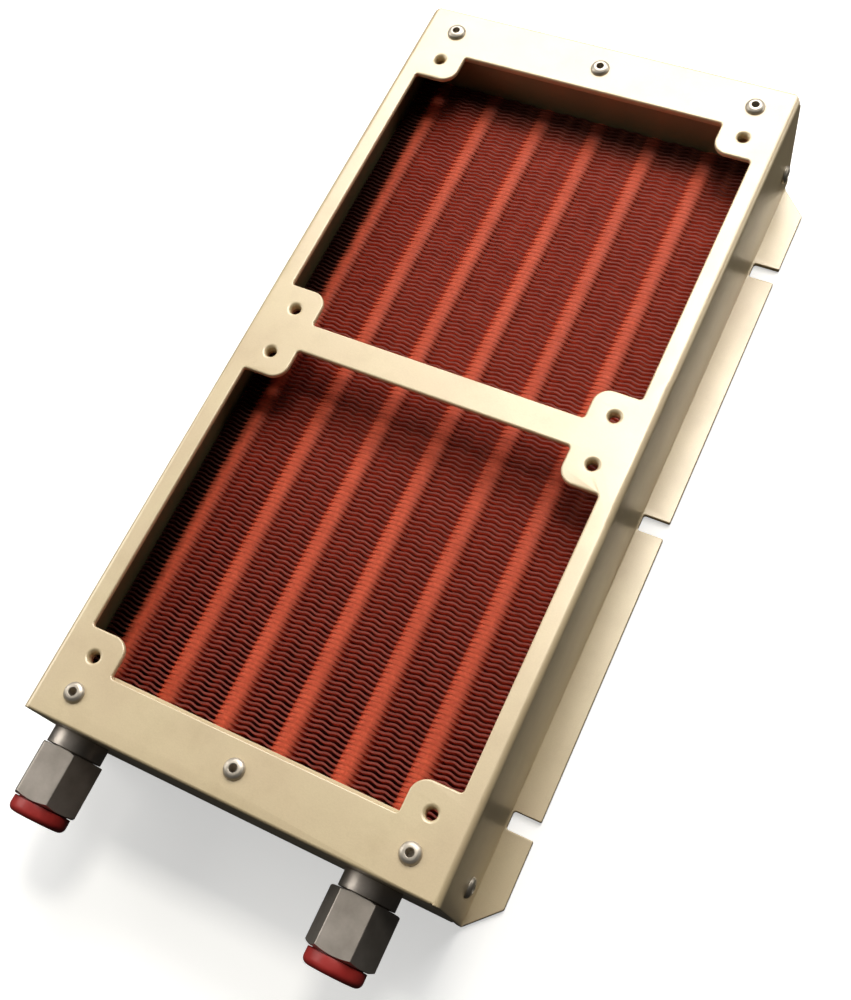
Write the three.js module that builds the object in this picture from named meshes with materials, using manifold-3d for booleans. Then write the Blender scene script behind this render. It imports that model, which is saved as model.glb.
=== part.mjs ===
// Liquid cooling radiator for two 120 mm fans: folded sheet housing, finned copper core on
// hairpin tubes, and two swivel-nut fittings closed by push-in dust plugs.
// Millimetres, +Z up, standing on its two mounting flanges, fittings towards -Y.
import * as THREE from 'three';
import { mergeVertices } from 'three/addons/utils/BufferGeometryUtils.js';
import Module from 'manifold-3d';

const wasm = await Module();
wasm.setup();

// ---- driving dimensions -------------------------------------------------------------------
const SHEET = 1.5;                       // housing and tube sheet thickness
const HEIGHT = 44.5;                     // flange underside to top face
const HALF_WIDTH = 64.1;                 // outer face of a side wall
const NEAR_END = -133.0;                 // outer faces of the end walls, from the fan midpoint
const FAR_END = 134.5;
const SIDE_BEND = 2.0;                   // outside radius of the side folds
const END_BEND = 1.2;                    // outside radius of the end folds
const END_LAP = 6.0;                     // end wall overlap under the top plate
const CORNER_SEAM = 0.5;                 // open seam where an end wall meets a side wall
const FAR_CORNER = 2.5;                  // plan radius of the far corners

const FLANGE = { reach: 9.0, near: -133.0, far: 132.0, bevel: 9.0 };
const SLOT = { width: 5.6, pitch: 99.0, middle: -1.9, floor: 0.6 };

const FAN_PITCH = 121.2;                 // between the two fan centres
const FAN_HOLES = 105.0;                 // hole square of a 120 mm fan
const WINDOW = { halfX: 57.75, halfY: 55.8 };
const TAB = { x: 13.1, y: 11.1, round: 5.0 };
const TAPPED = { bore: 1.65, collar: 2.8, depth: 2.4, sink: 2.5, sinkDepth: 0.5 };

const TUBE = { radius: 3.5, wall: 0.4, pitch: 19.05, columns: 6, shift: -5.4 };
const ROW_DROP = TUBE.pitch * Math.sin(Math.PI / 3);
const TOP_ROW = HEIGHT - 19.3;           // height of the upper tube row
const BOTTOM_ROW = TOP_ROW - ROW_DROP;
const CLEAR = 0.3;                       // working gap between neighbouring pieces
const PAST = 1.0;                        // how far a cutter runs past the face it cuts

const SHEET_NEAR = -115.6;               // core side faces of the tube sheets
const SHEET_FAR = 116.9;
const SHEET_FLANGE = 14.0;               // outward flanges of the tube sheets
const TUBE_STUB = 0.5;                   // tube end standing past its tube sheet
const BEND_LEG = 0.2;

const CORE = { halfX: 61.75, over: 4.3, tooth: 0.4, toothPitch: 5.8, toothLength: 2.6 };

const RIVET = { head: 3.15, dome: 1.1, shank: 1.9, tail: 2.7, tailTip: 2.0, tailLength: 2.2,
  pin: 1.0, pinDepth: 1.4, shoulder: [2.85, 0.55], crown: [1.95, 0.15] };
const TOP_RIVET_X = 52.0;
const TOP_RIVET_Y = [-124.1, 125.4];
const SIDE_RIVET = { y: [-123.4, 126.6], z: HEIGHT - 29.0 };
const RIVET_GRIP = 4 * SHEET;            // depth of a rivet hole through both sheets

const BODY = { neck: 8.4, neckEnd: 5.0, shank: 6.0, inner: 5.0, innerLength: 3.2, chamfer: 0.7,
  waist: 6.2, lip: 7.3, lipStart: 9.0, lipEnd: 12.0, coneLength: 1.0, coneInset: 1.2,
  tubeDepth: 4.0 };
const NUT = { flats: 18.0, start: 5.3, end: 21.3, lipBore: 6.6, lipEnd: 8.7, bore: 7.7,
  faceRadius: 8.5, chamfer: 1.05 };
const PLUG = { spigot: 7.35, spigotStart: 14.0, head: 8.6, start: 21.6, end: 25.9, round: 1.9,
  leadIn: 0.3, leadLength: 1.0, hollow: 6.0, hollowEnd: 22.5, edgeSteps: 4 };

const ROUND = 12;                        // facets round a tube, screw hole or rivet
const FITTING_ROUND = 18;                // facets round a fitting
const BEND_STEPS = 6;                    // facets round a half-circle return
const FOLD_STEPS = 3;                    // facets round a sheet fold

// ---- finishes -----------------------------------------------------------------------------
const FINISH = {
  paint: { color: 0xdccda6, roughness: 0.42, metalness: 0.35 },
  zinc: { color: 0xb9b2a2, roughness: 0.35, metalness: 0.8 },
  fins: { color: 0x8a3a2a, roughness: 0.45, metalness: 0.9 },
  copper: { color: 0xc8583a, roughness: 0.3, metalness: 0.95 },
  steel: { color: 0x8d8880, roughness: 0.38, metalness: 0.85 },
  plug: { color: 0x9e2622, roughness: 0.4, metalness: 0.0 },
};

// ---- helpers ------------------------------------------------------------------------------
function toSolid(geometry) {
  const bare = geometry.clone();
  bare.deleteAttribute('normal');
  bare.deleteAttribute('uv');
  const merged = mergeVertices(bare, 1e-4);
  return new wasm.Manifold(new wasm.Mesh({
    numProp: 3,
    vertProperties: new Float32Array(merged.attributes.position.array),
    triVerts: new Uint32Array(merged.index.array),
  }));
}

function toGeometry(solid) {
  const mesh = solid.getMesh();
  const geometry = new THREE.BufferGeometry();
  geometry.setAttribute('position', new THREE.BufferAttribute(mesh.vertProperties, 3));
  geometry.setIndex(new THREE.BufferAttribute(mesh.triVerts, 1));
  const flat = geometry.toNonIndexed();
  flat.computeVertexNormals();
  return flat;
}

function box(x0, x1, y0, y1, z0, z1) {
  const geometry = new THREE.BoxGeometry(x1 - x0, y1 - y0, z1 - z0);
  return toSolid(geometry.translate((x0 + x1) / 2, (y0 + y1) / 2, (z0 + z1) / 2));
}

// round bar about a line parallel to Y, from y0 to y1
function barY(x, z, radius, y0, y1, facets = ROUND) {
  const geometry = new THREE.CylinderGeometry(radius, radius, y1 - y0, facets);
  return toSolid(geometry.translate(x, (y0 + y1) / 2, z));
}

function barZ(x, y, radius, z0, z1, facets = ROUND, topRadius = radius) {
  const geometry = new THREE.CylinderGeometry(topRadius, radius, z1 - z0, facets);
  return toSolid(geometry.rotateX(Math.PI / 2).translate(x, y, (z0 + z1) / 2));
}

function barX(y, z, radius, x0, x1, facets = ROUND) {
  const geometry = new THREE.CylinderGeometry(radius, radius, x1 - x0, facets);
  return toSolid(geometry.rotateZ(Math.PI / 2).translate((x0 + x1) / 2, y, z));
}

// flat outline in X and Y raised from z0 to z1
function prismZ(shape, z0, z1) {
  const geometry = new THREE.ExtrudeGeometry(shape, {
    depth: z1 - z0, bevelEnabled: false, curveSegments: FOLD_STEPS });
  return toSolid(geometry.translate(0, 0, z0));
}

// outline in X and Z run along Y from y0 to y1
function prismY(points, y0, y1) {
  const shape = new THREE.Shape(points.map(([x, z]) => new THREE.Vector2(x, -z)));
  const geometry = new THREE.ExtrudeGeometry(shape, { depth: y1 - y0, bevelEnabled: false });
  return toSolid(geometry.rotateX(-Math.PI / 2).translate(0, y0, 0));
}

// outline in Y and Z run along X from x0 to x1
function prismX(points, x0, x1) {
  const shape = new THREE.Shape(points.map(([y, z]) => new THREE.Vector2(y, z)));
  const geometry = new THREE.ExtrudeGeometry(shape, { depth: x1 - x0, bevelEnabled: false });
  return toSolid(geometry.rotateX(Math.PI / 2).rotateZ(Math.PI / 2).translate(x0, 0, 0));
}

// turned piece: [radius, height] pairs about Z
function turned(profile, facets) {
  return new THREE.LatheGeometry(profile.map(([r, h]) => new THREE.Vector2(r, h)), facets)
    .rotateX(Math.PI / 2);
}

function arc(cx, cz, radius, from, to, steps) {
  return Array.from({ length: steps + 1 }, (_, i) => {
    const a = from + (to - from) * i / steps;
    return [cx + radius * Math.cos(a), cz + radius * Math.sin(a)];
  });
}

const group = new THREE.Group();
group.name = 'liquid_cooling_radiator';
// the frame origin is the middle of the whole part's footprint
const CENTRE_Y = (FAR_END + NEAR_END - PLUG.end) / 2;

function add(name, geometry, finish) {
  geometry.translate(0, -CENTRE_Y, 0);
  const material = new THREE.MeshStandardMaterial({ ...FINISH[finish], name: finish });
  const mesh = new THREE.Mesh(geometry, material);
  mesh.name = name;
  group.add(mesh);
}

// ---- housing ------------------------------------------------------------------------------
const HALF_PI = Math.PI / 2;
const INNER_X = HALF_WIDTH - SHEET;

// half of the folded section on the +X side, from the flange round to the top plate
function foldedHalf() {
  const edge = HALF_WIDTH + FLANGE.reach;
  const inner = SIDE_BEND - SHEET;
  const footX = HALF_WIDTH + inner;
  const headX = HALF_WIDTH - SIDE_BEND;
  return {
    outer: [
      [edge, 0], [edge, SHEET],
      ...arc(footX, SIDE_BEND, inner, 3 * HALF_PI, Math.PI, FOLD_STEPS),
      ...arc(headX, HEIGHT - SIDE_BEND, SIDE_BEND, 0, HALF_PI, FOLD_STEPS),
    ],
    inside: [
      ...arc(headX, HEIGHT - SIDE_BEND, inner, HALF_PI, 0, FOLD_STEPS),
      ...arc(footX, SIDE_BEND, SIDE_BEND, Math.PI, 3 * HALF_PI, FOLD_STEPS),
    ],
  };
}

function foldedSection() {
  const { outer, inside } = foldedHalf();
  const mirror = (points) => points.map(([x, z]) => [-x, z]).reverse();
  return [...outer, ...mirror(outer), ...mirror(inside), ...inside];
}

// end wall folded down from the top plate; side is -1 at the fittings, +1 at the far end
function endWall(face, side) {
  const half = INNER_X - CORNER_SEAM;
  const back = face - side * SHEET;
  const root = face - side * END_LAP;
  const points = [
    [root, HEIGHT - SHEET], [back, HEIGHT - SHEET], [back, SHEET], [face, SHEET],
    ...arc(face - side * END_BEND, HEIGHT - END_BEND, END_BEND,
      side > 0 ? 0 : Math.PI, HALF_PI, FOLD_STEPS),
    [root, HEIGHT],
  ];
  return prismX(side > 0 ? points : points.reverse(), -half, half);
}

function windowShape(cy) {
  const { halfX, halfY } = WINDOW;
  const x1 = halfX - TAB.x;
  const y1 = halfY - TAB.y;
  const shape = new THREE.Shape();
  const turn = (x, y, fromAngle, radius, clockwise) => shape.absarc(
    x, cy + y, radius, fromAngle, fromAngle + (clockwise ? -HALF_PI : HALF_PI), clockwise);
  shape.moveTo(-x1, cy - halfY);
  const corners = [[1, -1], [1, 1], [-1, 1], [-1, -1]];
  corners.forEach(([sx, sy]) => {
    const nextX = sx * (x1 + TAB.round);
    const nextY = sy * (y1 + TAB.round);
    if (sx * sy < 0) {
      shape.lineTo(sx * x1, cy + sy * halfY);
      turn(nextX, nextY, sx > 0 ? Math.PI : 0, TAB.round, true);
      shape.lineTo(sx * halfX, cy + sy * y1);
    } else {
      shape.lineTo(sx * halfX, cy + sy * y1);
      turn(nextX, nextY, sx > 0 ? 3 * HALF_PI : HALF_PI, TAB.round, true);
      shape.lineTo(sx * x1, cy + sy * halfY);
    }
  });
  shape.closePath();
  return shape;
}

function flangeBevel(sx, y, side) {
  const x = HALF_WIDTH + FLANGE.reach - FLANGE.bevel;
  const over = 2 * FLANGE.bevel;
  const shape = new THREE.Shape([
    new THREE.Vector2(x, y), new THREE.Vector2(x + over, y - side * over),
    new THREE.Vector2(x + over, y + side * over), new THREE.Vector2(x, y + side * over),
  ].map((p) => p.setX(sx * p.x)));
  return prismZ(shape, -SHEET, SIDE_BEND);
}

// cutter that rounds a far corner of the top in plan
function farCorner(sx) {
  const x = sx * (HALF_WIDTH - FAR_CORNER);
  const y = FAR_END - FAR_CORNER;
  const outerX = sx * (HALF_WIDTH + PAST);
  const shape = new THREE.Shape();
  shape.moveTo(x, FAR_END + PAST);
  shape.lineTo(x, FAR_END);
  shape.absarc(x, y, FAR_CORNER, HALF_PI, sx > 0 ? 0 : Math.PI, sx > 0);
  shape.lineTo(outerX, y);
  shape.lineTo(outerX, FAR_END + PAST);
  shape.closePath();
  return prismZ(shape, HEIGHT - SIDE_BEND, HEIGHT + PAST);
}

function rivetHoles() {
  const radius = RIVET.shank + CLEAR;
  const holes = [];
  for (const y of TOP_RIVET_Y) {
    for (const x of [-TOP_RIVET_X, 0, TOP_RIVET_X]) {
      holes.push(barZ(x, y, radius, HEIGHT - RIVET_GRIP, HEIGHT + PAST));
    }
  }
  for (const y of SIDE_RIVET.y) {
    for (const sx of [-1, 1]) {
      const ends = [sx * (HALF_WIDTH - RIVET_GRIP), sx * (HALF_WIDTH + PAST)];
      holes.push(barX(y, SIDE_RIVET.z, radius, Math.min(...ends), Math.max(...ends)));
    }
  }
  return holes;
}

const FITTING_X = [-1, 1].map((s) => TUBE.shift + s * TUBE.pitch * (TUBE.columns - 1) / 2);

function makeHousing() {
  let solid = prismY(foldedSection(), NEAR_END, FAR_END);
  // the flat top stops at the end folds, which belong to the end walls
  const half = INNER_X - CORNER_SEAM;
  const ends = [[NEAR_END - PAST, NEAR_END + END_BEND], [FAR_END - END_BEND, FAR_END + PAST]];
  for (const [y0, y1] of ends) {
    solid = solid.subtract(box(-half, half, y0, y1, HEIGHT - SIDE_BEND, HEIGHT + PAST));
  }
  solid = solid.add(endWall(NEAR_END, -1)).add(endWall(FAR_END, 1));
  for (const cy of [-FAN_PITCH / 2, FAN_PITCH / 2]) {
    solid = solid.subtract(prismZ(windowShape(cy), HEIGHT - SHEET - PAST, HEIGHT + PAST));
    for (const sx of [-1, 1]) {
      for (const sy of [-1, 1]) {
        const x = sx * FAN_HOLES / 2;
        const y = cy + sy * FAN_HOLES / 2;
        const under = HEIGHT - SHEET - TAPPED.depth;
        solid = solid.add(barZ(x, y, TAPPED.collar, under, HEIGHT - SHEET / 2));
        solid = solid.subtract(barZ(x, y, TAPPED.bore, under - PAST, HEIGHT + PAST));
        solid = solid.subtract(barZ(x, y, TAPPED.bore, HEIGHT - TAPPED.sinkDepth, HEIGHT,
          ROUND, TAPPED.sink));
      }
    }
  }
  rivetHoles().forEach((hole) => { solid = solid.subtract(hole); });
  for (const x of FITTING_X) {
    solid = solid.subtract(barY(x, TOP_ROW, BODY.shank + CLEAR, NEAR_END - PAST,
      NEAR_END + SHEET + PAST, FITTING_ROUND));
  }
  for (const sx of [-1, 1]) {
    for (const i of [-1, 0, 1]) {
      const y = SLOT.middle + i * SLOT.pitch;
      const slot = [sx * (HALF_WIDTH + SLOT.floor), sx * (HALF_WIDTH + FLANGE.reach + PAST)];
      solid = solid.subtract(box(Math.min(...slot), Math.max(...slot),
        y - SLOT.width / 2, y + SLOT.width / 2, -PAST, SHEET + PAST));
    }
    solid = solid.subtract(flangeBevel(sx, FLANGE.near, -1));
    solid = solid.subtract(flangeBevel(sx, FLANGE.far, 1));
    solid = solid.subtract(farCorner(sx));
  }
  return solid;
}
add('housing', toGeometry(makeHousing()), 'paint');

// ---- tube sheets --------------------------------------------------------------------------
function tubePlaces() {
  const places = [];
  for (let i = 0; i < TUBE.columns; i += 1) {
    const x = TUBE.shift + (i - (TUBE.columns - 1) / 2) * TUBE.pitch;
    places.push({ top: [x, TOP_ROW], bottom: [x + TUBE.pitch / 2, BOTTOM_ROW] });
  }
  return places;
}

function tubeHoles(solid, y0, y1) {
  let drilled = solid;
  for (const { top, bottom } of tubePlaces()) {
    for (const [x, z] of [top, bottom]) {
      drilled = drilled.subtract(barY(x, z, TUBE.radius + CLEAR, y0, y1));
    }
  }
  return drilled;
}

function makeTubeSheet(face, side) {
  const halfX = INNER_X - CLEAR;
  const roof = HEIGHT - SHEET - CLEAR;
  const floor = SHEET;
  const out = face + side * SHEET_FLANGE;
  const web = face + side * SHEET;
  const past = out + side * PAST;
  let solid = box(-halfX, halfX, Math.min(face, out), Math.max(face, out), floor, roof);
  solid = solid.subtract(box(-halfX + SHEET, halfX - SHEET, Math.min(web, past),
    Math.max(web, past), floor - PAST, roof - SHEET));
  solid = tubeHoles(solid, Math.min(face, web) - PAST, Math.max(face, web) + PAST);
  rivetHoles().forEach((hole) => { solid = solid.subtract(hole); });
  // clear the collars of the tapped holes that stand over the top flange
  for (const sx of [-1, 1]) {
    const y = side * (FAN_PITCH + FAN_HOLES) / 2;
    solid = solid.subtract(barZ(sx * FAN_HOLES / 2, y, TAPPED.collar + CLEAR,
      roof - SHEET - PAST, roof + PAST));
  }
  return solid;
}
add('tube_sheet_near', toGeometry(makeTubeSheet(SHEET_NEAR, -1)), 'paint');
add('tube_sheet_far', toGeometry(makeTubeSheet(SHEET_FAR, 1)), 'paint');

// ---- fin pack -----------------------------------------------------------------------------
function makeFinPack() {
  const y0 = SHEET_NEAR + CLEAR;
  const y1 = SHEET_FAR - CLEAR;
  const high = TOP_ROW + CORE.over;
  const low = BOTTOM_ROW - CORE.over;
  const count = Math.floor((y1 - y0) / CORE.toothPitch);
  const first = (y0 + y1) / 2 - (count - 1) / 2 * CORE.toothPitch;
  const run = (level, inward) => {
    const points = [];
    for (let i = 0; i < count; i += 1) {
      const y = first + i * CORE.toothPitch;
      const half = CORE.toothLength / 2;
      points.push([y - half, level + inward], [y - half, level], [y + half, level],
        [y + half, level + inward]);
    }
    return points;
  };
  const outline = [[y0, low + CORE.tooth], ...run(low, CORE.tooth), [y1, low + CORE.tooth],
    [y1, high - CORE.tooth], ...run(high, -CORE.tooth).reverse(), [y0, high - CORE.tooth]];
  return tubeHoles(prismX(outline, -CORE.halfX, CORE.halfX), y0 - PAST, y1 + PAST);
}
add('fin_pack', toGeometry(makeFinPack()), 'fins');

// ---- tubes --------------------------------------------------------------------------------
// two parallel legs along Y joined by a half circle; side is the end the half circle is on
class Hairpin extends THREE.Curve {
  constructor(a, b, startY, endY, turnY, side) {
    super();
    Object.assign(this, { a, b, startY, endY, turnY, side });
    this.steps = BEND_STEPS + 2;
  }

  getPoint(t) {
    const station = t * this.steps;
    const { a, b } = this;
    if (station <= 1) {
      return new THREE.Vector3(a[0], THREE.MathUtils.lerp(this.startY, this.turnY, station), a[1]);
    }
    if (station >= this.steps - 1) {
      const u = station - (this.steps - 1);
      return new THREE.Vector3(b[0], THREE.MathUtils.lerp(this.turnY, this.endY, u), b[1]);
    }
    const angle = Math.PI * (station - 1) / BEND_STEPS;
    const mix = (1 - Math.cos(angle)) / 2;
    const radius = Math.hypot(b[0] - a[0], b[1] - a[1]) / 2;
    return new THREE.Vector3(THREE.MathUtils.lerp(a[0], b[0], mix),
      this.turnY + this.side * radius * Math.sin(angle), THREE.MathUtils.lerp(a[1], b[1], mix));
  }

  getPointAt(u) { return this.getPoint(u); }

  getTangentAt(u) {
    const station = THREE.MathUtils.clamp(u * this.steps - 1, 0, BEND_STEPS);
    const angle = Math.PI * station / BEND_STEPS;
    const across = new THREE.Vector3(this.b[0] - this.a[0], 0, this.b[1] - this.a[1]).normalize();
    return across.multiplyScalar(Math.sin(angle))
      .add(new THREE.Vector3(0, this.side * Math.cos(angle), 0)).normalize();
  }
}

function tubeAlong(path) {
  const ring = (radius) => Array.from({ length: ROUND }, (_, i) => {
    const a = 2 * Math.PI * i / ROUND;
    return new THREE.Vector2(radius * Math.cos(a), radius * Math.sin(a));
  });
  const shape = new THREE.Shape(ring(TUBE.radius));
  shape.holes.push(new THREE.Path(ring(TUBE.radius - TUBE.wall).reverse()));
  return new THREE.ExtrudeGeometry(shape, {
    steps: path.steps, extrudePath: path, bevelEnabled: false });
}

const OUT_NEAR = SHEET_NEAR - SHEET - TUBE_STUB;
const FITTING_END = NEAR_END - BODY.tubeDepth + CLEAR;
const TURN_FAR = SHEET_FAR + SHEET + TUBE_STUB;
tubePlaces().forEach(({ top, bottom }, i) => {
  const isOuter = i === 0 || i === TUBE.columns - 1;
  const path = new Hairpin(top, bottom, isOuter ? FITTING_END : OUT_NEAR, OUT_NEAR, TURN_FAR, 1);
  add(`hairpin_tube_${i + 1}`, toGeometry(toSolid(tubeAlong(path))), 'copper');
});

for (let i = 0; i < TUBE.columns - 1; i += 1) {
  const row = i % 2 === 0 ? 'bottom' : 'top';
  const places = tubePlaces();
  const start = OUT_NEAR - CLEAR;
  const path = new Hairpin(places[i][row], places[i + 1][row], start, start, start - BEND_LEG, -1);
  add(`return_bend_${i + 1}`, toGeometry(toSolid(tubeAlong(path))), 'copper');
}

// ---- rivets -------------------------------------------------------------------------------
// blind rivet standing on z = 0, its shank going down through two sheets
function makeRivet() {
  const through = 2 * SHEET + CLEAR;
  const top = CLEAR + RIVET.dome;
  const base = -through - RIVET.tailLength;
  const profile = [
    [0, base], [RIVET.tailTip, base], [RIVET.tail, -through - 2 * CLEAR],
    [RIVET.shank, -through - CLEAR], [RIVET.shank, CLEAR], [RIVET.head, CLEAR],
    [RIVET.shoulder[0], top - RIVET.shoulder[1]], [RIVET.crown[0], top - RIVET.crown[1]],
    [RIVET.pin, top], [RIVET.pin, top - RIVET.pinDepth], [0, top - RIVET.pinDepth],
  ];
  return turned(profile, ROUND);
}

const END_NAMES = ['near', 'far'];
TOP_RIVET_Y.forEach((y, e) => {
  ['left', 'middle', 'right'].forEach((side, i) => {
    const rivet = makeRivet().translate((i - 1) * TOP_RIVET_X, y, HEIGHT);
    add(`rivet_top_${END_NAMES[e]}_${side}`, toGeometry(toSolid(rivet)), 'zinc');
  });
});
SIDE_RIVET.y.forEach((y, e) => {
  ['left', 'right'].forEach((side, i) => {
    const sx = 2 * i - 1;
    const rivet = makeRivet().rotateY(sx * HALF_PI).translate(sx * HALF_WIDTH, y, SIDE_RIVET.z);
    add(`rivet_side_${END_NAMES[e]}_${side}`, toGeometry(toSolid(rivet)), 'zinc');
  });
});

// ---- fittings -----------------------------------------------------------------------------
// profiles run outward from the outer face of the near wall, then point towards -Y
function placeFitting(geometry, x) {
  return geometry.rotateX(HALF_PI).translate(x, NEAR_END, TOP_ROW);
}

function bodyProfile() {
  const inside = -SHEET - BODY.innerLength;
  const socket = TUBE.radius + CLEAR;
  const way = TUBE.radius - TUBE.wall;
  return [
    [socket, inside], [BODY.inner, inside], [BODY.inner, -SHEET - CLEAR],
    [BODY.shank, -SHEET - CLEAR], [BODY.shank, CLEAR], [BODY.neck, CLEAR],
    [BODY.neck, BODY.neckEnd - BODY.chamfer], [BODY.neck - BODY.chamfer, BODY.neckEnd],
    [BODY.waist, BODY.neckEnd], [BODY.waist, BODY.lipStart], [BODY.lip, BODY.lipStart],
    [BODY.lip, BODY.lipEnd - BODY.coneLength], [BODY.lip - BODY.coneInset, BODY.lipEnd],
    [way, BODY.lipEnd],
    [way, BODY.tubeDepth], [socket, BODY.tubeDepth], [socket, inside],
  ];
}

function makeNut() {
  const corner = NUT.flats / Math.sqrt(3);
  const length = NUT.end - NUT.start;
  const hex = new THREE.CylinderGeometry(corner, corner, length, 6)
    .rotateY(HALF_PI).translate(0, NUT.start + length / 2, 0).rotateX(HALF_PI);
  const rim = corner + PAST;
  const slope = NUT.chamfer / (corner - NUT.faceRadius);
  const rise = (rim - NUT.faceRadius) * slope;
  const barrel = turned([
    [0, NUT.start], [NUT.faceRadius, NUT.start], [rim, NUT.start + rise],
    [rim, NUT.end - rise], [NUT.faceRadius, NUT.end], [0, NUT.end],
  ], FITTING_ROUND);
  const bore = turned([
    [0, NUT.start - PAST], [NUT.lipBore, NUT.start - PAST], [NUT.lipBore, NUT.lipEnd],
    [NUT.bore, NUT.lipEnd], [NUT.bore, NUT.end + PAST], [0, NUT.end + PAST],
  ], FITTING_ROUND);
  return toGeometry(toSolid(hex).intersect(toSolid(barrel)).subtract(toSolid(bore)));
}

function plugProfile() {
  const edge = arc(PLUG.head - PLUG.round, PLUG.end - PLUG.round, PLUG.round, 0, HALF_PI,
    PLUG.edgeSteps);
  return [
    [PLUG.hollow, PLUG.spigotStart], [PLUG.spigot - PLUG.leadIn, PLUG.spigotStart],
    [PLUG.spigot, PLUG.spigotStart + PLUG.leadLength], [PLUG.spigot, PLUG.start],
    [PLUG.head, PLUG.start],
    ...edge, [0, PLUG.end], [0, PLUG.hollowEnd], [PLUG.hollow, PLUG.hollowEnd],
    [PLUG.hollow, PLUG.spigotStart],
  ];
}

['left', 'right'].forEach((side, i) => {
  const x = FITTING_X[i];
  const body = toGeometry(toSolid(turned(bodyProfile(), FITTING_ROUND)));
  const plug = toGeometry(toSolid(turned(plugProfile(), FITTING_ROUND)));
  add(`fitting_body_${side}`, placeFitting(body, x), 'steel');
  add(`swivel_nut_${side}`, placeFitting(makeNut(), x), 'steel');
  add(`dust_plug_${side}`, placeFitting(plug, x), 'plug');
});

export default group;
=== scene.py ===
"""Looks for the liquid cooling radiator: folded and painted sheet housing, wavy copper fins on
hairpin tubes, blind rivets, and two swivel-nut fittings closed by red dust plugs.
Sizes are in millimetres and become metres where a mesh is made."""
import math

import bmesh
import bpy
import numpy as np
from mathutils import Matrix, Vector
from mathutils.geometry import tessellate_polygon


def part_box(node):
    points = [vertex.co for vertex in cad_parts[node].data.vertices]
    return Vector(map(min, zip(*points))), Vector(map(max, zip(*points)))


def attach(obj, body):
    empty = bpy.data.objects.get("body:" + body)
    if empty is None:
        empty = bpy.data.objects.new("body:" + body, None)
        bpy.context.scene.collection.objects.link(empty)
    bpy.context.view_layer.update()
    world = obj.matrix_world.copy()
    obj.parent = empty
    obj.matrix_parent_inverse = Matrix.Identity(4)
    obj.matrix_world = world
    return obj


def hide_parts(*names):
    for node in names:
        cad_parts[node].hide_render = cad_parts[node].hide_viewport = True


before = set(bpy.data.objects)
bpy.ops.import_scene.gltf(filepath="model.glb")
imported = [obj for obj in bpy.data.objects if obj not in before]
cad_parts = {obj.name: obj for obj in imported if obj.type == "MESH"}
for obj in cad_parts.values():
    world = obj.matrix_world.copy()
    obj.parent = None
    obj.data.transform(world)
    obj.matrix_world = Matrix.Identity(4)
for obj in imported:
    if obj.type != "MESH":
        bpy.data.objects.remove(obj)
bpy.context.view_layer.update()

MM = 0.001
HALF_PI = math.pi / 2


def cad(node):
    low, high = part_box(node)
    return low / MM, high / MM


# ---- sizes taken from the frame ---------------------------------------------------------------
house_low, house_high = cad("housing")
TOP, NEAR, FAR, EDGE = house_high.z, house_low.y, house_high.y, house_high.x
NEAR_TO_MIDDLE = 133.0
FAN_MIDDLE = NEAR + NEAR_TO_MIDDLE        # midpoint between the two fan centres
core_low, core_high = cad("fin_pack")
pins = [cad(f"hairpin_tube_{i + 1}") for i in range(6)]
TUBE_RADIUS = 3.5
TOP_ROW = pins[0][1].z - TUBE_RADIUS
BOTTOM_ROW = pins[0][0].z + TUBE_RADIUS
TUBE_PITCH = (pins[5][0].x - pins[0][0].x) / 5
TOP_TUBES = [(low.x + high.x) / 2 - TUBE_PITCH / 4 for low, high in pins]
BOTTOM_TUBES = [x + TUBE_PITCH / 2 for x in TOP_TUBES]

# ---- housing ----------------------------------------------------------------------------------
SHEET = 1.5
FLANGE = 9.0
HALF_WIDTH = EDGE - FLANGE                # outer face of a side wall
BEND = 2.0                                # outside radius of the side folds
HEAD = HALF_WIDTH - BEND                  # where the top plate starts to fold down
ARC = (BEND - SHEET / 2) * HALF_PI        # length of sheet that a side fold takes
WALL = TOP - 2 * BEND
FOOT_U = HEAD + ARC + WALL                # start of the fold into the flange
FLAT_U = FOOT_U + ARC
FOOT_X = HALF_WIDTH + BEND - SHEET
EDGE_U = FLAT_U + EDGE - FOOT_X
FLANGE_FAR = FAR - 2.5                    # the flange ends a little before the far end
FLANGE_BEVEL = 9.0
SLOT = {"width": 5.6, "pitch": 99.0, "middle": -1.9, "root": 0.1}
END_START = 1.45                          # end fold: distance of its start from the end face
END_ARC = 1.6
END_OUT, END_IN = 0.8, 0.2                # outside and inside radius of an end fold
END_EASE = 3.0
END_SLIT = 0.9                            # depth of the slit beside an end fold
SEAM = 0.3
WINDOW = {"half_x": 57.75, "half_y": 55.8, "tab_x": 13.1, "tab_y": 11.1, "round": 5.0}
FAN_PITCH, FAN_HOLES = 121.2, 105.0
BORE = 1.65
RIVET_HOLE = 2.2
FITTING_HOLE = 6.3
rivet_names = ([f"rivet_top_{end}_{side}" for end in ("near", "far")
                for side in ("left", "middle", "right")]
               + [f"rivet_side_{end}_{side}" for end in ("near", "far")
                  for side in ("left", "right")])


def middle(node):
    low, high = cad(node)
    return (low + high) / 2


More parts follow.
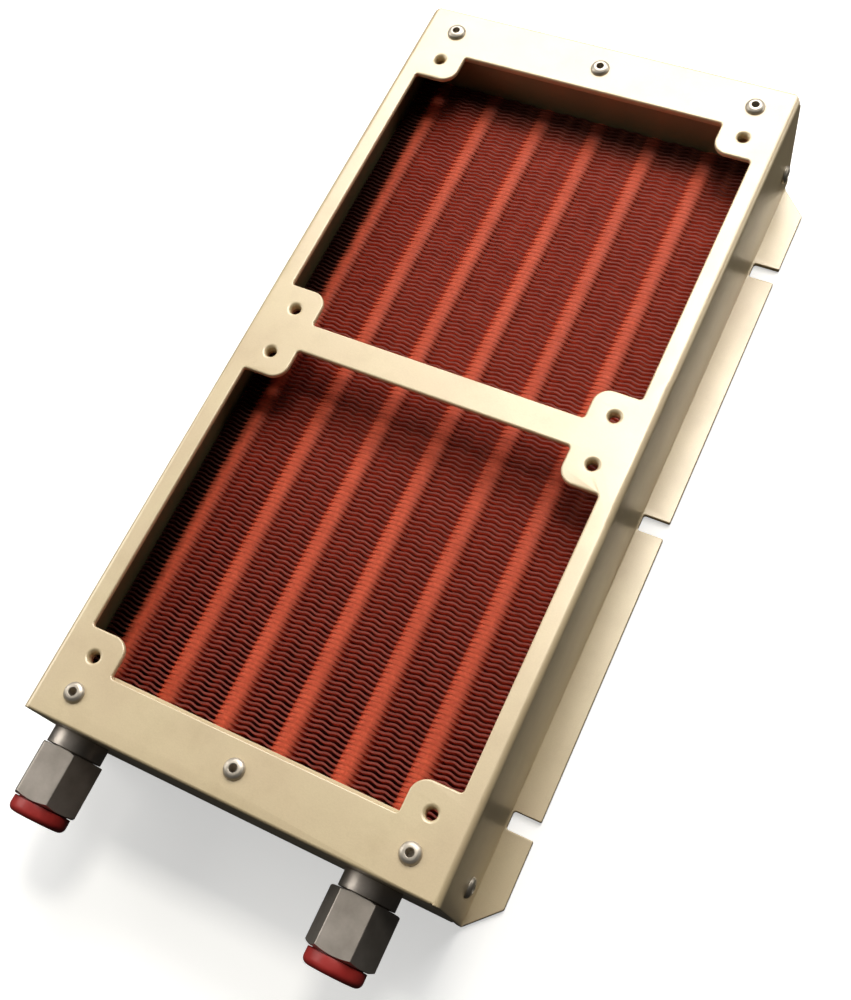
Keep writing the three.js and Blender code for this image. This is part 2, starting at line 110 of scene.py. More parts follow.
# ---- mesh helpers -----------------------------------------------------------------------------
def rounded(corners, step=math.radians(10)):
    """Outline from (x, y, radius) corners, each turned by an arc of its radius."""
    out = []
    count = len(corners)
    for i, (x, y, radius) in enumerate(corners):
        here = Vector((x, y))
        before = (Vector(corners[i - 1][:2]) - here).normalized()
        after = (Vector(corners[(i + 1) % count][:2]) - here).normalized()
        if radius <= 0:
            out.append((x, y))
            continue
        half = math.acos(max(-1, min(1, before.dot(after)))) / 2
        centre = here + (before + after).normalized() * radius / math.sin(half)
        first = here + before * radius / math.tan(half) - centre
        last = here + after * radius / math.tan(half) - centre
        a0 = math.atan2(first.y, first.x)
        sweep = (math.atan2(last.y, last.x) - a0 + math.pi) % (2 * math.pi) - math.pi
        steps = max(2, math.ceil(abs(sweep) / step))
        for k in range(steps + 1):
            a = a0 + sweep * k / steps
            out.append((centre.x + radius * math.cos(a), centre.y + radius * math.sin(a)))
    return out


def circle(x, y, radius, count):
    return [(x + radius * math.cos(2 * math.pi * i / count),
             y + radius * math.sin(2 * math.pi * i / count)) for i in range(count)]


def inset(points, distance):
    """Outline moved to its left by a distance."""
    out = []
    count = len(points)
    for i in range(count):
        a, b, c = (Vector(points[j % count]) for j in (i - 1, i, i + 1))
        n1 = Vector((a.y - b.y, b.x - a.x)).normalized()
        n2 = Vector((b.y - c.y, c.x - b.x)).normalized()
        miter = n1 + n2
        out.append(tuple(b + miter * (distance * 2 / max(miter.length_squared, 0.2)))
                   if miter.length_squared > 1e-9 else tuple(b))
    return out


def make_piece(name, mesh, material, body, replaces=(), sharp=None):
    mesh.materials.append(material)
    for polygon in mesh.polygons:
        polygon.use_smooth = True
    if sharp is not None:
        mesh.set_sharp_from_angle(angle=math.radians(sharp))
    piece = bpy.data.objects.new(name, mesh)
    bpy.context.scene.collection.objects.link(piece)
    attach(piece, body)
    if replaces:
        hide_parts(*replaces)
    return piece


def mesh_from(name, points, faces, merge=True):
    """Mesh in metres from points in millimetres, with its faces turned outwards."""
    mesh = bpy.data.meshes.new(name)
    mesh.from_pydata([tuple(c * MM for c in p) for p in points], [], faces)
    work = bmesh.new()
    work.from_mesh(mesh)
    if merge:
        bmesh.ops.remove_doubles(work, verts=work.verts, dist=1e-7)
        bmesh.ops.dissolve_degenerate(work, edges=work.edges, dist=1e-8)
    bmesh.ops.recalc_face_normals(work, faces=work.faces)
    work.to_mesh(mesh)
    work.free()
    return mesh


def ring_faces(rings, size, closed):
    """Quads between rings of equal size, numbered one after another."""
    faces = []
    for r in range(rings if closed else rings - 1):
        a, b = r * size, (r + 1) % rings * size
        for i in range(size):
            j = (i + 1) % size
            faces.append((a + i, a + j, b + j, b + i))
    return faces


def lathe(name, corners, segments, place):
    """Turned body: (radius, height, fillet) corners about Z, set in place by a matrix."""
    profile = rounded(corners, math.radians(18))
    points = []
    for i in range(segments):
        a = 2 * math.pi * i / segments
        points += [place @ Vector((r * math.cos(a), r * math.sin(a), h)) for r, h in profile]
    return mesh_from(name, points, ring_faces(segments, len(profile), True))


# ---- folded sheet -----------------------------------------------------------------------------
def rim(top, bottom, steps=3):
    """Edge section of the sheet as (inset, depth) pairs with rounded corners."""
    pairs = []
    for k in range(steps + 1):
        a = HALF_PI * k / steps
        pairs.append((top * (1 - math.sin(a)), top * (1 - math.cos(a))))
    for k in range(steps + 1):
        a = HALF_PI * k / steps
        pairs.append((bottom * (1 - math.cos(a)), SHEET - bottom * (1 - math.sin(a))))
    return pairs


# The same for an extruded screw hole: a funnel above, and a short sleeve below the sheet.
TAPPED_RIM = [(1.05, 0), (0.85, 0.02), (0.62, 0.08), (0.42, 0.19), (0.25, 0.34), (0.11, 0.56),
              (0.03, 0.78), (0, 1.0), (0, 2.4), (0, 3.65),
              (0.2, 3.85), (0.9, 3.88), (1.1, 3.7), (1.15, 2.4), (1.3, 1.8), (1.65, 1.5)]


def sheet_solid(loops):
    """Closed flat sheet in (u, v, depth) from (outline, section) loops, material to the left."""
    work = bmesh.new()
    sides = {0: [], -1: []}
    for outline, section in loops:
        rings = []
        for distance, depth in section:
            rings.append([work.verts.new((u, v, depth)) for u, v in inset(outline, distance)])
        for above, below in zip(rings, rings[1:]):
            for i in range(len(outline)):
                j = (i + 1) % len(outline)
                work.faces.new((above[i], above[j], below[j], below[i]))
        for side in sides:
            sides[side].append(rings[side])
    for rings in sides.values():
        flat = [vert for ring in rings for vert in ring]
        for triangle in tessellate_polygon([[v.co for v in ring] for ring in rings]):
            if len(set(triangle)) == 3:
                work.faces.new([flat[i] for i in triangle])
    return work


def end_fold(v, depth, face, side):
    """Distance along Y and height of a point of the top plate or of an end wall."""
    start = END_START
    along = side * (face - v)             # how far inside the end face the flat point lies
    radius = END_OUT + (END_IN - END_OUT) * depth / SHEET
    centre = depth + radius
    if along >= start:
        ease = max(0.0, 1 - (along - start) / END_EASE)
        return face - side * (along + (centre - start) * ease), TOP - depth
    turn = start - along
    if turn <= END_ARC:
        a = HALF_PI * turn / END_ARC
        return (face - side * (centre - radius * math.sin(a)),
                TOP - centre + radius * math.cos(a))
    drop = turn - END_ARC
    ease = max(0.0, 1 - drop / END_EASE)
    return face - side * depth, TOP - start - drop + (start - centre) * ease


def folded(u, v, depth):
    """Place of a flat point of the housing once the sheet is folded."""
    across = abs(u)
    sign = 1 if u > 0 else -1
    if across <= HEAD + 1e-6:
        y, z = end_fold(v, depth, NEAR, -1) if v < FAN_MIDDLE else end_fold(v, depth, FAR, 1)
        return u, y, z
    if across <= HEAD + ARC:
        a = HALF_PI * (across - HEAD) / ARC
        return (sign * (HEAD + (BEND - depth) * math.sin(a)), v,
                TOP - BEND + (BEND - depth) * math.cos(a))
    if across <= FOOT_U:
        return sign * (HALF_WIDTH - depth), v, TOP - BEND - (across - HEAD - ARC)
    if across <= FLAT_U:
        a = HALF_PI * (across - FOOT_U) / ARC
        reach = BEND - SHEET + depth
        return sign * (FOOT_X - reach * math.cos(a)), v, BEND - reach * math.sin(a)
    return sign * (FOOT_X + across - FLAT_U), v, SHEET - depth


def wall_v(z, face, side):
    """Flat place of a height on an end wall."""
    return face + side * (END_ARC - 2 * END_START + TOP - z)


def wall_u(z):
    """Flat place of a height on a side wall."""
    return HEAD + ARC + TOP - BEND - z


def housing_outline():
    """Flat outline of the blank, right half first: end wall, side wall, flange and slots."""
    near_slit, far_slit = NEAR + END_START - END_SLIT, FAR - END_START + END_SLIT
    right = [(HEAD - SEAM, wall_v(SHEET, NEAR, -1), 1.0), (HEAD - SEAM, near_slit, 0),
             (HEAD, near_slit, 0), (HEAD, NEAR, 0), (FLAT_U - 0.5, NEAR, 0),
             (EDGE_U, NEAR + FLANGE_BEVEL, 0.6)]
    for i in (-1, 0, 1):
        v = FAN_MIDDLE + SLOT["middle"] + i * SLOT["pitch"]
        low, high = v - SLOT["width"] / 2, v + SLOT["width"] / 2
        root = FLAT_U + SLOT["root"]
        right += [(EDGE_U, low, 0.4), (root, low, 0.8), (root, high, 0.8), (EDGE_U, high, 0.4)]
    right += [(EDGE_U, FLANGE_FAR - FLANGE_BEVEL, 0.6), (FLAT_U - 0.5, FLANGE_FAR, 0),
              (FLAT_U - 1.5, FLANGE_FAR + 0.4, 0), (FLAT_U - 1.8, FAR, 0.3),
              (HEAD + ARC + 2.6, FAR, 0.6), (HEAD + ARC, FAR - 2.2, 0.8), (HEAD, FAR - 0.3, 0),
              (HEAD, far_slit, 0), (HEAD - SEAM, far_slit, 0),
              (HEAD - SEAM, wall_v(SHEET, FAR, 1), 1.0)]
    left = [(-u, v, radius) for u, v, radius in reversed(right)]
    return rounded(right + left)


def window_outline(centre):
    """Fan window with a tab at each corner, turned clockwise as a hole."""
    hx, hy = WINDOW["half_x"], WINDOW["half_y"]
    x, y = hx - WINDOW["tab_x"], hy - WINDOW["tab_y"]
    quarter = [(hx, y, 1.0), (x, y, WINDOW["round"]), (x, hy, 1.0)]
    corners = []
    for sx, sy in ((1, 1), (-1, 1), (-1, -1), (1, -1)):
        part = [(sx * u, sy * v, r) for u, v, r in quarter]
        corners += part if sx * sy > 0 else part[::-1]
    return [(u, centre + v) for u, v in reversed(rounded(corners, math.radians(6)))]


def hole(u, v, radius, count=28):
    """Circle turned clockwise, as a hole in the sheet."""
    return circle(u, v, radius, count)[::-1]


def housing_mesh():
    """The blank with its holes, cut across where it bends, and then folded."""
    plain = rim(0.2, 0.12)
    loops = [(housing_outline(), rim(0.28, 0.15))]
    for centre in (FAN_MIDDLE - FAN_PITCH / 2, FAN_MIDDLE + FAN_PITCH / 2):
        loops.append((window_outline(centre), rim(0.55, 0.2, 4)))
        for sx in (-1, 1):
            for sy in (-1, 1):
                at = sx * FAN_HOLES / 2, centre + sy * FAN_HOLES / 2
                loops.append((hole(*at, BORE, 36), TAPPED_RIM))
    for name in rivet_names:
        at = middle(name)
        u = at.x if "top" in name else math.copysign(wall_u(at.z), at.x)
        loops.append((hole(u, at.y, RIVET_HOLE), plain))
    for side in ("left", "right"):
        at = middle(f"fitting_body_{side}")
        loops.append((hole(at.x, wall_v(at.z, NEAR, -1), FITTING_HOLE, 40), plain))
    work = sheet_solid(loops)
    for k in range(7):
        for start in (HEAD, FOOT_U):
            for sign in (-1, 1):
                cut(work, (sign * (start + ARC * k / 6), 0, 0), (1, 0, 0))
    for face, side in ((NEAR, -1), (FAR, 1)):
        root = face - side * END_START
        for shift in [END_ARC * k / 6 for k in range(7)] + [-END_EASE, END_ARC + END_EASE]:
            cut(work, (0, root + side * shift, 0), (0, 1, 0))
    for vert in work.verts:
        vert.co = Vector(folded(*vert.co)) * MM
    bmesh.ops.recalc_face_normals(work, faces=work.faces)
    mesh = bpy.data.meshes.new("housing_detail")
    work.to_mesh(mesh)
    work.free()
    return mesh


def cut(work, point, normal):
    """Add an edge line across the flat sheet, so that it can bend there."""
    geometry = work.verts[:] + work.edges[:] + work.faces[:]
    bmesh.ops.bisect_plane(work, geom=geometry, plane_co=point, plane_no=normal, dist=1e-5)


# ---- fins -------------------------------------------------------------------------------------
FIN = {"pitch": 1.46, "thick": 0.56, "wave": 0.27, "flat": 4.2}
COLLAR = {"half_x": 3.95, "half_z": 4.25, "power": 3.0, "inner": 3.55, "lap": 0.05,
          "end_gap": 0.6}
FIN_SEED = 7
LEAN, RIPPLE, DENT_SHARE, DENT_DEPTH, DENT_HEIGHT = 0.05, 0.05, 0.22, 0.35, 4.3


def fin_wave(x, first):
    """Offset along Y of a fin edge: flat at each tube, two waves between tubes."""
    place = (x - first) % TUBE_PITCH
    span = TUBE_PITCH - 2 * FIN["flat"]
    if place < FIN["flat"] or place > TUBE_PITCH - FIN["flat"]:
        return -FIN["wave"]
    return -FIN["wave"] * math.cos(4 * math.pi * (place - FIN["flat"]) / span)


def fin_columns():
    """Places across the fin: round every hole, and eight or so to a wave."""
    radius = COLLAR["half_x"] - COLLAR["lap"]
    columns = [core_low.x, core_high.x]
    for x in TOP_TUBES + BOTTOM_TUBES:
        columns += [x + radius * math.cos(math.pi * k / 6) for k in range(7)]
    period = (TUBE_PITCH - 2 * FIN["flat"]) / 2
    samples = []
    x = TOP_TUBES[0] - TUBE_PITCH
    while x < core_high.x:
        samples += [x + FIN["flat"] + period * k / 8 for k in range(17)]
        x += TUBE_PITCH
    for x in samples:
        if core_low.x < x < core_high.x and min(abs(x - c) for c in columns) > 0.3:
            columns.append(x)
    return sorted(columns)


def hole_half(x, tubes):
    """Half height of the flattened hole that a fin has round its tube."""
    share = min(abs(x - c) for c in tubes) / (COLLAR["half_x"] - COLLAR["lap"])
    power = COLLAR["power"]
    return (COLLAR["half_z"] - COLLAR["lap"]) * max(0.0, 1 - share ** power) ** (1 / power)


def fin_template():
    """One fin: the (x, z) points of a side, and the faces between two such sides."""
    columns = fin_columns()
    rows, index = [], []
    for x in columns:
        top, low = hole_half(x, TOP_TUBES), hole_half(x, BOTTOM_TUBES)
        levels = [core_high.z, TOP_ROW + top, TOP_ROW - top, BOTTOM_ROW + low,
                  BOTTOM_ROW - low, core_low.z]
        ids = []
        for k, z in enumerate(levels):
            if k in (2, 4) and levels[k - 1] - z < 1e-6:
                ids.append(ids[-1])
            else:
                ids.append(len(rows))
                rows.append((x, z))
        index.append(ids)
    count = len(rows)
    faces = []
    for left, right in zip(index, index[1:]):
        for k in (0, 2, 4):
            quad = (left[k], right[k], right[k + 1], left[k + 1])
            faces += [quad, tuple(i + count for i in reversed(quad))]
        for k in (0, 5):
            faces.append((left[k], right[k], right[k] + count, left[k] + count))
        for k in (1, 3):
            if left[k] != left[k + 1] or right[k] != right[k + 1]:
                for j in (k, k + 1):
                    faces.append((left[j], right[j], right[j] + count, left[j] + count))
    for ids in (index[0], index[-1]):
        for k in (0, 2, 4):
            faces.append((ids[k], ids[k + 1], ids[k + 1] + count, ids[k] + count))
    return np.array(rows), np.array(faces)


def fins_mesh():
    """All fins, each a little leaning and rippled, and some with a dented top edge."""
    rows, faces = fin_template()
    count = len(rows)
    x, z = rows[:, 0], rows[:, 1]
    share = np.clip((z - BOTTOM_ROW) / (TOP_ROW - BOTTOM_ROW), 0, 1)
    share = share * share * (3 - 2 * share)
    upper = np.array([fin_wave(v, TOP_TUBES[0]) for v in x])
    lower = np.array([fin_wave(v, BOTTOM_TUBES[0]) for v in x])
    wave = upper * share + lower * (1 - share)
    number = int((core_high.y - core_low.y - 2 * FIN["wave"] - FIN["thick"]) / FIN["pitch"]) + 1
    start = (core_low.y + core_high.y - (number - 1) * FIN["pitch"]) / 2
    rng = np.random.default_rng(FIN_SEED)
    points, quads = [], []
    for n in range(number):
        lean = rng.normal(0, LEAN) * (z - TOP_ROW) / 10
        ripple = RIPPLE * np.sin(x / rng.uniform(6, 16) + rng.uniform(0, 6.28))
        dent = np.zeros_like(x)
        if rng.random() < DENT_SHARE:
            at, wide = rng.uniform(x.min(), x.max()), rng.uniform(0.8, 1.8)
            depth = rng.uniform(-DENT_DEPTH, DENT_DEPTH)
            rise = np.clip((z - TOP_ROW) / DENT_HEIGHT, 0, 1)
            dent = depth * np.exp(-((x - at) / wide) ** 2) * rise
        y = start + n * FIN["pitch"] + wave + lean + ripple + dent
        for side in (-0.5, 0.5):
            points.append(np.column_stack([x, y + side * FIN["thick"], z]))
        quads.append(faces + n * 2 * count)
    mesh = bpy.data.meshes.new("fins_detail")
    mesh.from_pydata(np.vstack(points) * MM, [], np.vstack(quads))
    work = bmesh.new()
    work.from_mesh(mesh)
    bmesh.ops.recalc_face_normals(work, faces=work.faces)
    work.to_mesh(mesh)
    work.free()
    return mesh


def collars_mesh():
    """The fins' collars, which meet end to end and hide each tube."""
    points, faces = [], []
    low, high = core_low.y + COLLAR["end_gap"], core_high.y - COLLAR["end_gap"]
    steps = 40
    for height, tubes in ((TOP_ROW, TOP_TUBES), (BOTTOM_ROW, BOTTOM_TUBES)):
        for x in tubes:
            first = len(points)
            for i in range(steps):
                a = 2 * math.pi * i / steps
                c, d = math.cos(a), math.sin(a)
                outer = (math.copysign(abs(c) ** (2 / COLLAR["power"]) * COLLAR["half_x"], c),
                         math.copysign(abs(d) ** (2 / COLLAR["power"]) * COLLAR["half_z"], d))
                inner = COLLAR["inner"] * c, COLLAR["inner"] * d
                points += [(x + u, y, height + w) for (u, w), y in
                           ((inner, low), (outer, low), (outer, high), (inner, high))]
            faces += [tuple(first + k for k in face) for face in ring_faces(steps, 4, True)]
    return mesh_from("fin_collars_detail", points, faces, False)


# ---- tubes ------------------------------------------------------------------------------------
def sweep_tube(name, path, swell, segments=24, wall=0.4):
    """Open-ended tube along a flat path; swell gives the radius added at each point."""
    plane = None
    outer, inner = [], []
    for i, point in enumerate(path):
        tangent = (path[min(i + 1, len(path) - 1)] - path[max(i - 1, 0)]).normalized()
        if plane is None:
            across = max((p - path[0] for p in path), key=lambda d: d.cross(tangent).length)
            plane = tangent.cross(across).normalized()
        side = tangent.cross(plane)
        for k in range(segments):
            a = 2 * math.pi * k / segments
            spoke = plane * math.cos(a) + side * math.sin(a)
            outer.append(point + spoke * (TUBE_RADIUS + swell[i]))
            inner.append(point + spoke * (TUBE_RADIUS - wall))
    count = len(path)
    rings = outer + [p for i in reversed(range(count))
                     for p in inner[i * segments:(i + 1) * segments]]
    return mesh_from(name, rings, ring_faces(2 * count, segments, True))


def hairpin_path(a, b, y_a, y_b, turn, side, steps=18):
    """Two legs along Y at (x, z) places a and b, joined by a half circle."""
    radius = math.hypot(b[0] - a[0], b[1] - a[1]) / 2
    path = [Vector((a[0], y_a, a[1]))] if abs(y_a - turn) > 0.05 else []
    for k in range(steps + 1):
        angle = math.pi * k / steps
        mix = (1 - math.cos(angle)) / 2
        path.append(Vector((a[0] + (b[0] - a[0]) * mix, turn + side * radius * math.sin(angle),
                            a[1] + (b[1] - a[1]) * mix)))
    if abs(y_b - turn) > 0.05:
        path.append(Vector((b[0], y_b, b[1])))
    return path


# ---- materials --------------------------------------------------------------------------------
class Nodes:
    """Short way to write a material's nodes and links."""

    def __init__(self, name):
        self.material = bpy.data.materials.new(name)
        self.material.use_nodes = True
        self.tree = self.material.node_tree
        self.shader = self.tree.nodes["Principled BSDF"]
        self.place = self.add("ShaderNodeTexCoord").outputs["Object"]

    def axes(self):
        """X, Y and Z of the place, as the outputs of one node."""
        node = self.add("ShaderNodeSeparateXYZ")
        self.link(self.place, node.inputs[0])
        return node.outputs

    def add(self, kind, **values):
        node = self.tree.nodes.new(kind)
        for key, value in values.items():
            setattr(node, key, value)
        return node

    def link(self, source, target):
        self.tree.links.new(source, target)

    def noise(self, scale, detail=3.0, rough=0.55, stretch=(1, 1, 1)):
        place = self.place
        if stretch != (1, 1, 1):
            mapping = self.add("ShaderNodeMapping")
            mapping.inputs["Scale"].default_value = stretch
            self.link(self.place, mapping.inputs["Vector"])
            place = mapping.outputs["Vector"]
        node = self.add("ShaderNodeTexNoise")
        node.inputs["Scale"].default_value = scale
        node.inputs["Detail"].default_value = detail
        node.inputs["Roughness"].default_value = rough
        self.link(place, node.inputs["Vector"])
        return node.outputs["Fac"]

    def ramp(self, source, stops):
        node = self.add("ShaderNodeValToRGB")
        elements = node.color_ramp.elements
        while len(elements) < len(stops):
            elements.new(0.5)
        for element, (position, colour) in zip(elements, stops):
            element.position = position
            element.color = (*colour, 1) if len(colour) == 3 else colour
        self.link(source, node.inputs["Fac"])
        return node.outputs["Color"]

    def scale_to(self, source, low, high, start=0.3, end=0.7):
        node = self.add("ShaderNodeMapRange")
        for key, value in (("From Min", start), ("From Max", end), ("To Min", low),
                           ("To Max", high)):
            node.inputs[key].default_value = value
        self.link(source, node.inputs["Value"])
        return node.outputs["Result"]

    def math(self, operation, *values):
        node = self.add("ShaderNodeMath", operation=operation)
        for socket, value in zip(node.inputs, values):
            if isinstance(value, bpy.types.NodeSocket):
                self.link(value, socket)
            else:
                socket.default_value = value
        return node.outputs[0]

    def mix(self, share, first, second, blend="MIX"):
        node = self.add("ShaderNodeMix", data_type="RGBA", blend_type=blend)
        for socket, value in zip((node.inputs["Factor"], node.inputs[6], node.inputs[7]),
                                 (share, first, second)):
            if isinstance(value, bpy.types.NodeSocket):
                self.link(value, socket)
            else:
                socket.default_value = (*value, 1) if isinstance(value, tuple) else value
        return node.outputs[2]

    def bump(self, source, strength, distance, below=None):
        node = self.add("ShaderNodeBump")
        node.inputs["Strength"].default_value = strength
        node.inputs["Distance"].default_value = distance
        self.link(source, node.inputs["Height"])
        if below is not None:
            self.link(below, node.inputs["Normal"])
        return node.outputs["Normal"]

    def finish(self, colour, rough, normal=None, **fixed):
        self.link(colour, self.shader.inputs["Base Color"])
        self.link(rough, self.shader.inputs["Roughness"])
        if normal is not None:
            self.link(normal, self.shader.inputs["Normal"])
        for key, value in fixed.items():
            self.shader.inputs[key.replace("_", " ")].default_value = value
        return self.material


def painted_inner_shade(n):
    """One on the inner faces of the housing and on the tube sheets, where painted shade darkens
    the paint.
    """
    place = n.axes()
    depth, soft = SHEET * 0.6 * MM, SHEET * 0.2 * MM
    wall = n.math("SUBTRACT", HALF_WIDTH * MM, n.math("ABSOLUTE", place["X"]))
    roof = n.math("SUBTRACT", (TOP - SHEET) * MM, place["Z"])
    ends = n.math("SUBTRACT", (FAR - NEAR) / 2 * MM, n.math("ABSOLUTE", n.math(
        "SUBTRACT", place["Y"], (FAR + NEAR) / 2 * MM)))
    nearest = n.math("MINIMUM", n.math("MINIMUM", wall, roof), ends)
    return n.scale_to(nearest, 0, 1, depth, depth + soft)


def paint_material():
    """Satin champagne paint: fine metallic grain, soft blotches, faint rolling lines, and painted
    shade on the inner faces and tube sheets.
    """
    n = Nodes("champagne_paint")
    blotch = n.ramp(n.noise(38, 3, 0.5), [(0.3, (0.655, 0.51, 0.305)),
                                          (0.7, (0.705, 0.575, 0.34))])
    grain = n.ramp(n.noise(2600, 2, 0.6), [(0.3, (0.93, 0.92, 0.90)), (0.75, (1.0, 1.0, 1.0))])
    colour = n.mix(1.0, blotch, grain, "MULTIPLY")
    smudge = n.ramp(n.noise(120, 5, 0.65), [(0.25, (0.90, 0.88, 0.84)), (0.5, (1, 1, 1))])
    colour = n.mix(0.7, colour, smudge, "MULTIPLY")
    # painted shade: the inner faces and the tube sheets are darkened for the shade inside the
    # housing
    colour = n.mix(painted_inner_shade(n), colour, n.mix(1.0, colour, (0.32, 0.32, 0.25), "MULTIPLY"))
    rough = n.scale_to(n.noise(90, 4), 0.40, 0.52)
    lines = n.bump(n.noise(900, 3, 0.6, (1, 0.06, 1)), 0.05, 0.0002)
    normal = n.bump(n.noise(1500, 2, 0.5), 0.10, 0.0002, lines)
    return n.finish(colour, rough, normal, Metallic=0.15, Coat_Weight=0.9, Coat_Roughness=0.36,
                    Coat_IOR=1.95)


def tube_material():
    """Bright copper with clouds of tarnish, on the hairpins and return bends."""
    n = Nodes("copper_tube")
    base = n.ramp(n.noise(200, 5, 0.6), [(0.3, (0.66, 0.12, 0.06)), (0.7, (0.82, 0.20, 0.10))])
    tarnish = n.ramp(n.noise(60, 4, 0.6), [(0.35, (0.78, 0.70, 0.66)), (0.6, (1, 1, 1))])
    colour = n.mix(0.8, base, tarnish, "MULTIPLY")
    normal = n.bump(n.noise(1800, 3, 0.6), 0.12, 0.0002)
    return n.finish(colour, n.scale_to(n.noise(240, 3), 0.28, 0.42), normal, Metallic=0.6)


FLANK = (0.20, 0.030, 0.014)              # copper in the shade of a tube's right flank


def tube_offset(n):
    """Distance along X from the middle of the nearest tube of the nearer row, in metres."""
    place = n.axes()
    lower = n.math("LESS_THAN", place["Z"], (TOP_ROW + BOTTOM_ROW) / 2 * MM)
    shift = n.math("MULTIPLY", lower, TUBE_PITCH / 2 * MM)
    along = n.math("SUBTRACT", n.math("SUBTRACT", place["X"], shift),
                   (TOP_TUBES[0] - TUBE_PITCH / 2) * MM)
    return n.math("SUBTRACT", n.math("WRAP", along, TUBE_PITCH * MM, 0.0), TUBE_PITCH / 2 * MM)


def shade_side(n):
    """Share of painted shade, which runs along the right flank of each tube."""
    return n.scale_to(tube_offset(n), 0, 0.85, 0.0002, 0.0026)


def painted_shade(n, colour):
    """Painted shade: copper darkened beside the left wall, and fading in before the far tube
    sheet.
    It stands for the shade in those places, which the lamps leave out."""
    place = n.axes()
    ragged = n.scale_to(n.noise(260, 3), -0.0006, 0.0006)
    across = n.math("ADD", place["X"], ragged)
    along = n.math("ADD", place["Y"], ragged)
    beside = (TOP_TUBES[0] - COLLAR["half_x"]) * MM
    left = n.scale_to(across, 1, 0, beside + 0.0005, beside + 0.0035)
    before = cad("tube_sheet_far")[0].y * MM
    far = n.scale_to(along, 0, 0.9, before - 0.013, before - 0.005)
    share = n.math("MAXIMUM", left, far)
    return n.mix(share, colour, n.mix(1.0, colour, (0.16, 0.15, 0.13), "MULTIPLY"))


def collar_material():
    """Copper of the fin collars: speckled, with painted shade down the right flank, beside the
    left wall and before the far tube sheet.
    """
    n = Nodes("fin_collars")
    base = n.ramp(n.noise(750, 5, 0.7), [(0.28, (0.40, 0.045, 0.018)),
                                         (0.72, (0.68, 0.108, 0.046))])
    cloud = n.ramp(n.noise(55, 4, 0.6), [(0.35, (0.80, 0.72, 0.68)), (0.6, (1, 1, 1))])
    colour = n.mix(shade_side(n), n.mix(0.8, base, cloud, "MULTIPLY"), FLANK)
    normal = n.bump(n.noise(1800, 3, 0.6), 0.12, 0.0002)
    return n.finish(painted_shade(n, colour), n.scale_to(n.noise(240, 3), 0.5, 0.64), normal,
                    Specular_IOR_Level=0.2)


def fin_material():
    """Thin copper strip, duller and paler on its cut edges, which face up or down, with painted
    shade by the left wall, before the far tube sheet and down each tube's right flank.
    """
    n = Nodes("copper_fin")
    sheet = n.ramp(n.noise(260, 4, 0.6), [(0.3, (0.56, 0.13, 0.075)), (0.7, (0.72, 0.20, 0.12))])
    edge = n.ramp(n.noise(420, 4, 0.7), [(0.3, (0.15, 0.032, 0.024)),
                                         (0.72, (0.25, 0.058, 0.044))])
    bright = n.ramp(n.noise(700, 4, 0.7), [(0.3, (0.36, 0.052, 0.022)),
                                           (0.72, (0.54, 0.092, 0.042))])
    # painted shade down the right flank of each tube
    bright = n.mix(shade_side(n), bright, FLANK)
    apart = n.math("ABSOLUTE", tube_offset(n))
    beside = COLLAR["half_x"] * MM
    edge = n.mix(n.scale_to(apart, 1, 0, beside * 0.72, beside * 0.92), edge, bright)
    up = n.add("ShaderNodeSeparateXYZ")
    n.link(n.add("ShaderNodeNewGeometry").outputs["True Normal"], up.inputs[0])
    cut_edge = n.scale_to(n.math("ABSOLUTE", up.outputs["Z"]), 0, 1, 0.5, 0.8)
    # painted shade beside the left wall and before the far tube sheet
    colour = painted_shade(n, n.mix(cut_edge, sheet, edge))
    normal = n.bump(n.noise(1500, 3, 0.6), 0.1, 0.0002)
    return n.finish(colour, n.scale_to(n.noise(300, 3), 0.5, 0.65), normal, Metallic=0.0,
                    Specular_IOR_Level=0.1)


def steel_material(name, dark, light, rough, stretch):
    """Bright plated metal with fine machining lines."""
    n = Nodes(name)
    colour = n.ramp(n.noise(150, 5, 0.6), [(0.3, dark), (0.7, light)])
    grain = n.noise(1400, 3, 0.6, stretch)
    normal = n.bump(grain, 0.10, 0.0002)
    return n.finish(colour, n.scale_to(grain, rough - 0.05, rough + 0.08), normal, Metallic=0.85)


def plug_material():
    """Red moulded plastic with a fine grain."""
    n = Nodes("red_plastic")
    colour = n.ramp(n.noise(180, 4, 0.6), [(0.3, (0.30, 0.018, 0.016)),
                                           (0.7, (0.40, 0.032, 0.026))])
    normal = n.bump(n.noise(1200, 3, 0.6), 0.14, 0.0002)
    return n.finish(colour, n.scale_to(n.noise(300, 3), 0.32, 0.46), normal)


PAINT = paint_material()
COPPER = tube_material()
COLLARS = collar_material()
FINS = fin_material()
ZINC = steel_material("rivet_metal", (0.48, 0.43, 0.36), (0.62, 0.56, 0.47), 0.42, (1, 1, 1))
STEEL = steel_material("fitting_steel", (0.40, 0.355, 0.31), (0.54, 0.485, 0.43), 0.36,
                       (1, 12, 1))
PLUG = plug_material()

# ---- pieces -----------------------------------------------------------------------------------
housing = make_piece("housing_detail", housing_mesh(), PAINT, "radiator",
                     ["housing"])
weighted = housing.modifiers.new("even_normals", "WEIGHTED_NORMAL")
weighted.mode = "FACE_AREA_WITH_ANGLE"
weighted.weight = 90
make_piece("fins_detail", fins_mesh(), FINS, "radiator", ["fin_pack"], 40)
make_piece("fin_collars_detail", collars_mesh(), COLLARS, "radiator", (), 40)

# the tube sheets take the paint, whose painted inner shade draws them dark
for end in ("near", "far"):
    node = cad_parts[f"tube_sheet_{end}"]
    node.data.materials.clear()
    node.data.materials.append(PAINT)

